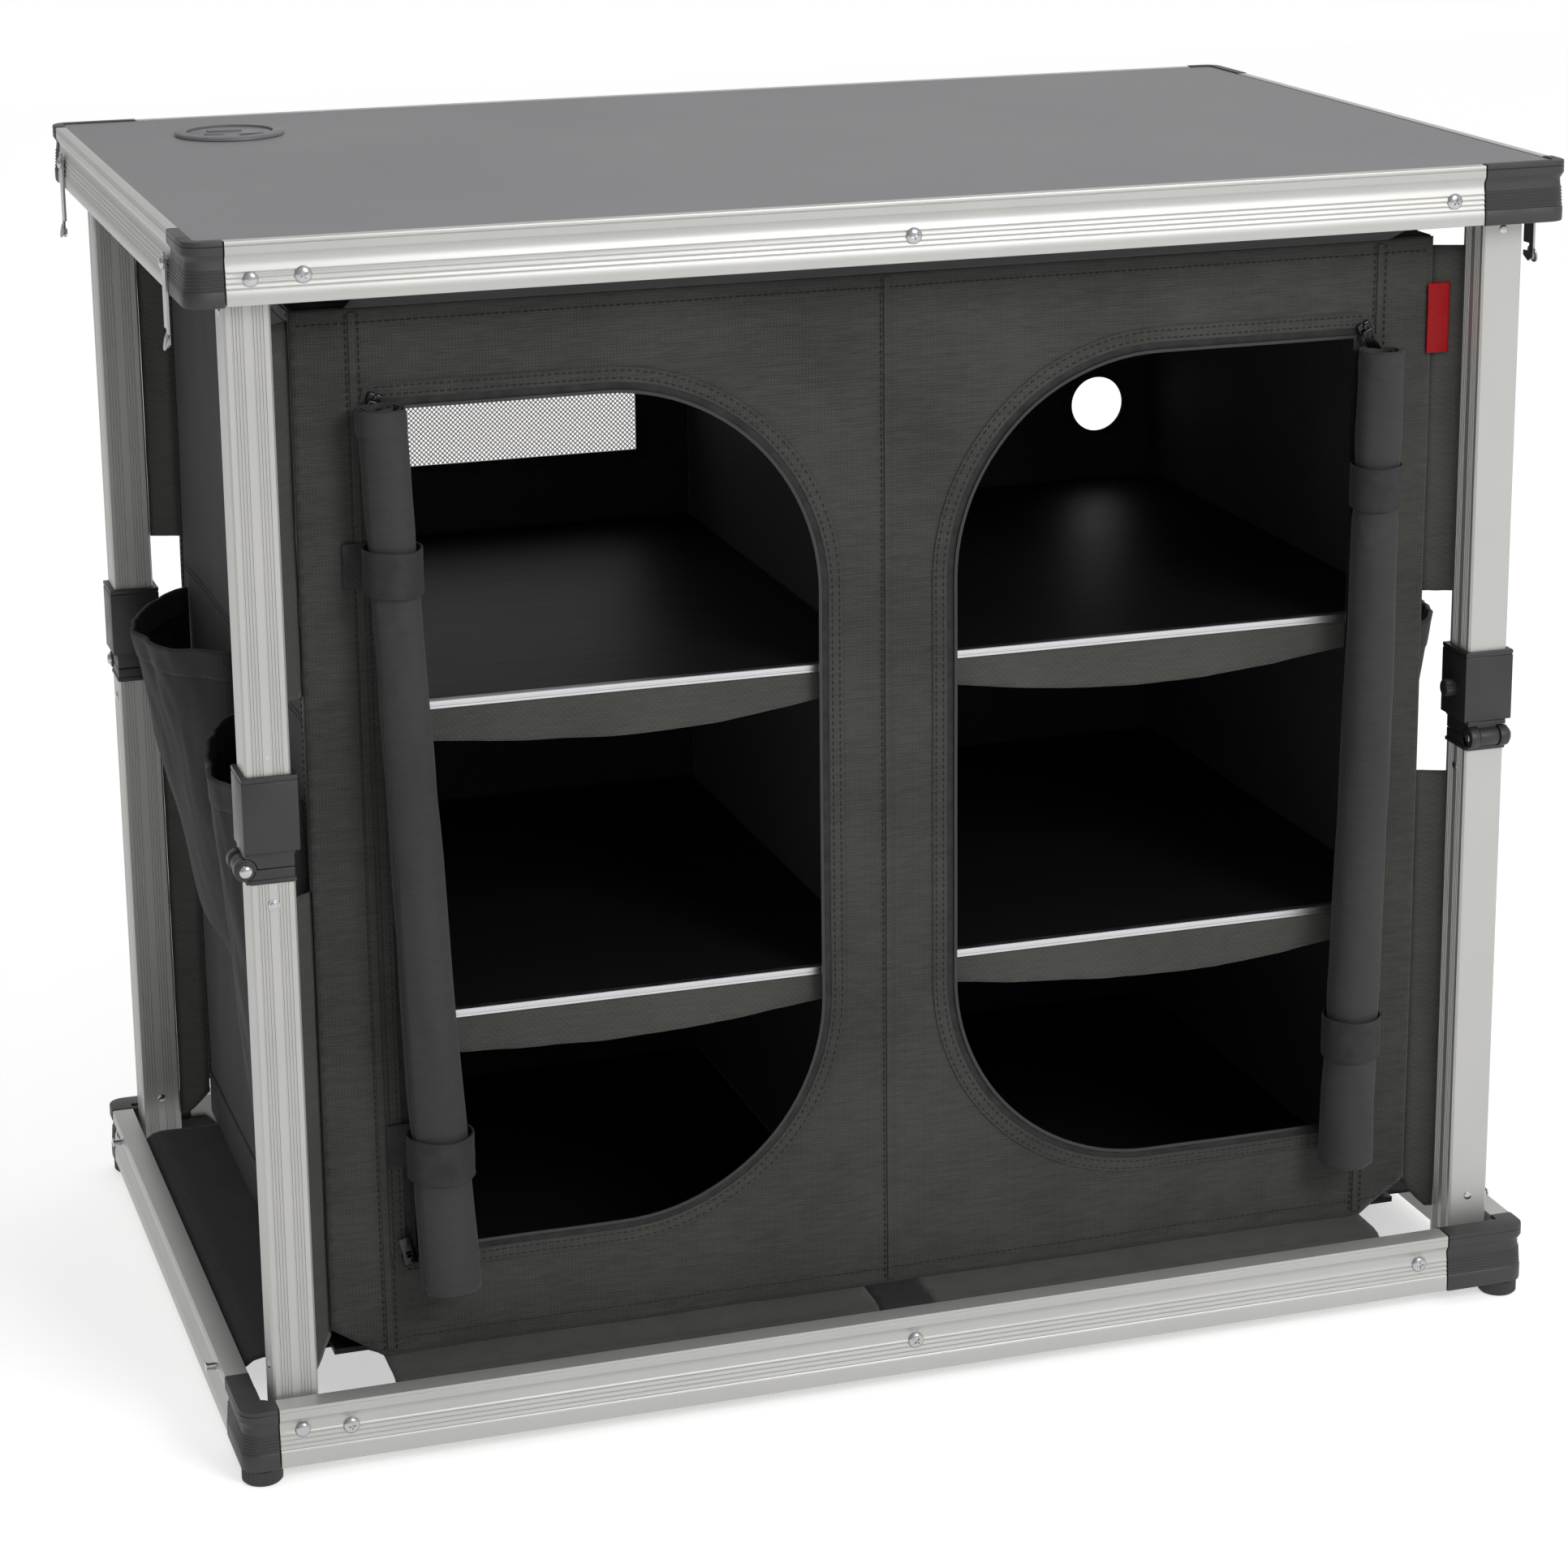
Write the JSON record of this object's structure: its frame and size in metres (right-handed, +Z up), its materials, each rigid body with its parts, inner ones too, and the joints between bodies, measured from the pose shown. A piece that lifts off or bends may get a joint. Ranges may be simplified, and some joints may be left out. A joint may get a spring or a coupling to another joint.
{
  "type": "folding camping cupboard",
  "caption": "folding camping cupboard: grey table top and fabric shelf cabinet with rolled-up doors inside an aluminium frame on knee-jointed legs",
  "frame": {"origin": "on the ground, under the middle of the frame", "axes": "+X to the right along the front, +Y to the back, +Z up"},
  "size_m": [0.968, 0.5986, 0.8428],
  "materials": {
    "aluminium": "extruded, matte silver anodised",
    "steel": "zinc-plated sheet and rivets",
    "black_plastic": "moulded, satin black",
    "table_laminate": "fibre board with a smooth grey laminate",
    "shelf_board": "fibre board with a black foil and a bright front edge",
    "front_fabric": "dark grey woven polyester",
    "lining_fabric": "black and dark grey woven polyester"
  },
  "bodies": {
    "base_frame": {"base_rail_front": "aluminium", "base_rail_right": "aluminium", "base_rail_back": "aluminium", "base_rail_left": "aluminium", "base_cap_fl": "black_plastic", "base_cap_fr": "black_plastic", "base_cap_br": "black_plastic", "base_cap_bl": "black_plastic", "floor_board": "shelf_board", "cabinet_shell": "lining_fabric", "front_panel": "front_fabric", "door_roll_left": "front_fabric", "door_roll_right": "front_fabric"},
    "top_frame": {"top_rail_front": "aluminium", "top_rail_right": "aluminium", "top_rail_back": "aluminium", "top_rail_left": "aluminium", "top_cap_fl": "black_plastic", "top_cap_fr": "black_plastic", "top_cap_br": "black_plastic", "top_cap_bl": "black_plastic", "table_panel": "table_laminate", "cable_grommet": "black_plastic"},
    "grommet_lid": {"grommet_lid": "black_plastic"},
    "lower_fl": {"lower_leg_fl": "aluminium", "knee_socket_fl": "black_plastic"},
    "upper_fl": {"upper_leg_fl": "aluminium", "knee_plug_fl": "black_plastic"},
    "sleeve_fl": {"sleeve_fl": "black_plastic"},
    "button_fl": {"lock_button_fl": "black_plastic"},
    "foot_fl": {"foot_fl": "black_plastic"},
    "lower_fr": {"lower_leg_fr": "aluminium", "knee_socket_fr": "black_plastic"},
    "upper_fr": {"upper_leg_fr": "aluminium", "knee_plug_fr": "black_plastic"},
    "sleeve_fr": {"sleeve_fr": "black_plastic"},
    "button_fr": {"lock_button_fr": "black_plastic"},
    "foot_fr": {"foot_fr": "black_plastic"},
    "lower_br": {"lower_leg_br": "aluminium", "knee_socket_br": "black_plastic"},
    "upper_br": {"upper_leg_br": "aluminium", "knee_plug_br": "black_plastic"},
    "sleeve_br": {"sleeve_br": "black_plastic"},
    "button_br": {"lock_button_br": "black_plastic"},
    "foot_br": {"foot_br": "black_plastic"},
    "lower_bl": {"lower_leg_bl": "aluminium", "knee_socket_bl": "black_plastic"},
    "upper_bl": {"upper_leg_bl": "aluminium", "knee_plug_bl": "black_plastic"},
    "sleeve_bl": {"sleeve_bl": "black_plastic"},
    "button_bl": {"lock_button_bl": "black_plastic"},
    "foot_bl": {"foot_bl": "black_plastic"},
    "hook_right_front": {"latch_hook_right_front": "steel"},
    "hook_right_back": {"latch_hook_right_back": "steel"},
    "hook_left_back": {"latch_hook_left_back": "steel"},
    "hook_left_front": {"latch_hook_left_front": "steel"},
    "shelf_upper": {"shelf_upper_left": "shelf_board", "shelf_upper_right": "shelf_board"},
    "shelf_lower": {"shelf_lower_left": "shelf_board", "shelf_lower_right": "shelf_board"}
  },
  "joints": [
    {"name": "fold", "type": "hinge", "parent": "base_frame", "child": "lower_fl", "pos_m": [-0.435, -0.263, 0.038], "axis": [0, 1, 0], "range_deg": [0, 89], "deforming": ["cabinet_shell", "front_panel", "door_roll_left", "door_roll_right"]},
    {"name": "knee_fl", "type": "hinge", "parent": "lower_fl", "child": "upper_fl", "pos_m": [-0.4525, -0.263, 0.4267], "axis": [0, 1, 0], "range_deg": [-178, 0]},
    {"name": "top_pivot_fl", "type": "hinge", "parent": "upper_fl", "child": "top_frame", "pos_m": [-0.435, -0.263, 0.8154], "axis": [0, 1, 0], "range_deg": [0, 89]},
    {"name": "sleeve_slide_fl", "type": "slide", "parent": "upper_fl", "child": "sleeve_fl", "axis": [0, 0, 1], "range_m": [0, 0.05]},
    {"name": "button_pull_fl", "type": "slide", "parent": "sleeve_fl", "child": "button_fl", "axis": [0, 1, 0], "range_m": [0, 0.004], "stiffness_N_per_m": 300},
    {"name": "foot_turn_fl", "type": "hinge", "parent": "base_frame", "child": "foot_fl", "pos_m": [-0.4615, -0.2835, 0], "axis": [0, 0, 1], "continuous": true},
    {"name": "lower_fold_fr", "type": "hinge", "parent": "base_frame", "child": "lower_fr", "pos_m": [0.441, -0.257, 0.038], "axis": [-1, 0, 0], "range_deg": [0, 89]},
    {"name": "knee_fr", "type": "hinge", "parent": "lower_fr", "child": "upper_fr", "pos_m": [0.441, -0.2745, 0.4267], "axis": [-1, 0, 0], "range_deg": [-178, 0]},
    {"name": "sleeve_slide_fr", "type": "slide", "parent": "upper_fr", "child": "sleeve_fr", "axis": [0, 0, 1], "range_m": [0, 0.05]},
    {"name": "button_pull_fr", "type": "slide", "parent": "sleeve_fr", "child": "button_fr", "axis": [-1, 0, 0], "range_m": [0, 0.004], "stiffness_N_per_m": 300},
    {"name": "foot_turn_fr", "type": "hinge", "parent": "base_frame", "child": "foot_fr", "pos_m": [0.4615, -0.2835, 0], "axis": [0, 0, 1], "continuous": true},
    {"name": "lower_fold_br", "type": "hinge", "parent": "base_frame", "child": "lower_br", "pos_m": [0.435, 0.263, 0.038], "axis": [0, -1, 0], "range_deg": [0, 89]},
    {"name": "knee_br", "type": "hinge", "parent": "lower_br", "child": "upper_br", "pos_m": [0.4525, 0.263, 0.4267], "axis": [0, -1, 0], "range_deg": [-178, 0]},
    {"name": "sleeve_slide_br", "type": "slide", "parent": "upper_br", "child": "sleeve_br", "axis": [0, 0, 1], "range_m": [0, 0.05]},
    {"name": "button_pull_br", "type": "slide", "parent": "sleeve_br", "child": "button_br", "axis": [0, -1, 0], "range_m": [0, 0.004], "stiffness_N_per_m": 300},
    {"name": "foot_turn_br", "type": "hinge", "parent": "base_frame", "child": "foot_br", "pos_m": [0.4615, 0.2835, 0], "axis": [0, 0, 1], "continuous": true},
    {"name": "lower_fold_bl", "type": "hinge", "parent": "base_frame", "child": "lower_bl", "pos_m": [-0.441, 0.257, 0.038], "axis": [1, 0, 0], "range_deg": [0, 89]},
    {"name": "knee_bl", "type": "hinge", "parent": "lower_bl", "child": "upper_bl", "pos_m": [-0.441, 0.2745, 0.4267], "axis": [1, 0, 0], "range_deg": [-178, 0]},
    {"name": "sleeve_slide_bl", "type": "slide", "parent": "upper_bl", "child": "sleeve_bl", "axis": [0, 0, 1], "range_m": [0, 0.05]},
    {"name": "button_pull_bl", "type": "slide", "parent": "sleeve_bl", "child": "button_bl", "axis": [1, 0, 0], "range_m": [0, 0.004], "stiffness_N_per_m": 300},
    {"name": "foot_turn_bl", "type": "hinge", "parent": "base_frame", "child": "foot_bl", "pos_m": [-0.4615, 0.2835, 0], "axis": [0, 0, 1], "continuous": true},
    {"name": "lid_turn", "type": "hinge", "parent": "top_frame", "child": "grommet_lid", "pos_m": [-0.36, 0.19, 0.8398], "axis": [0, 0, 1], "range_deg": [0, 180]},
    {"name": "hook_right_front_swing", "type": "hinge", "parent": "top_frame", "child": "hook_right_front", "pos_m": [0.476, -0.243, 0.8175], "axis": [1, 0, 0], "range_deg": [0, 110]},
    {"name": "hook_right_back_swing", "type": "hinge", "parent": "top_frame", "child": "hook_right_back", "pos_m": [0.476, 0.226, 0.8175], "axis": [-1, 0, 0], "range_deg": [0, 110]},
    {"name": "hook_left_back_swing", "type": "hinge", "parent": "top_frame", "child": "hook_left_back", "pos_m": [-0.476, 0.243, 0.8175], "axis": [-1, 0, 0], "range_deg": [0, 110]},
    {"name": "hook_left_front_swing", "type": "hinge", "parent": "top_frame", "child": "hook_left_front", "pos_m": [-0.476, -0.226, 0.8175], "axis": [1, 0, 0], "range_deg": [0, 110]},
    {"name": "shelf_drop_upper", "type": "slide", "parent": "base_frame", "child": "shelf_upper", "axis": [0, 0, 1], "range_m": [-0.4343, 0]},
    {"name": "shelf_drop_lower", "type": "slide", "parent": "base_frame", "child": "shelf_lower", "axis": [0, 0, 1], "range_m": [-0.2282, 0]}
  ],
  "couplings": [
    {"joint": "knee_fl", "follows": "fold", "ratio": -2},
    {"joint": "top_pivot_fl", "follows": "fold", "ratio": 1},
    {"joint": "lower_fold_fr", "follows": "fold", "ratio": 1},
    {"joint": "knee_fr", "follows": "fold", "ratio": -2},
    {"joint": "lower_fold_br", "follows": "fold", "ratio": 1},
    {"joint": "knee_br", "follows": "fold", "ratio": -2},
    {"joint": "lower_fold_bl", "follows": "fold", "ratio": 1},
    {"joint": "knee_bl", "follows": "fold", "ratio": -2},
    {"joint": "shelf_drop_upper", "follows": "fold", "m_per_rad": -0.27924},
    {"joint": "shelf_drop_lower", "follows": "fold", "m_per_rad": -0.14662}
  ]
}
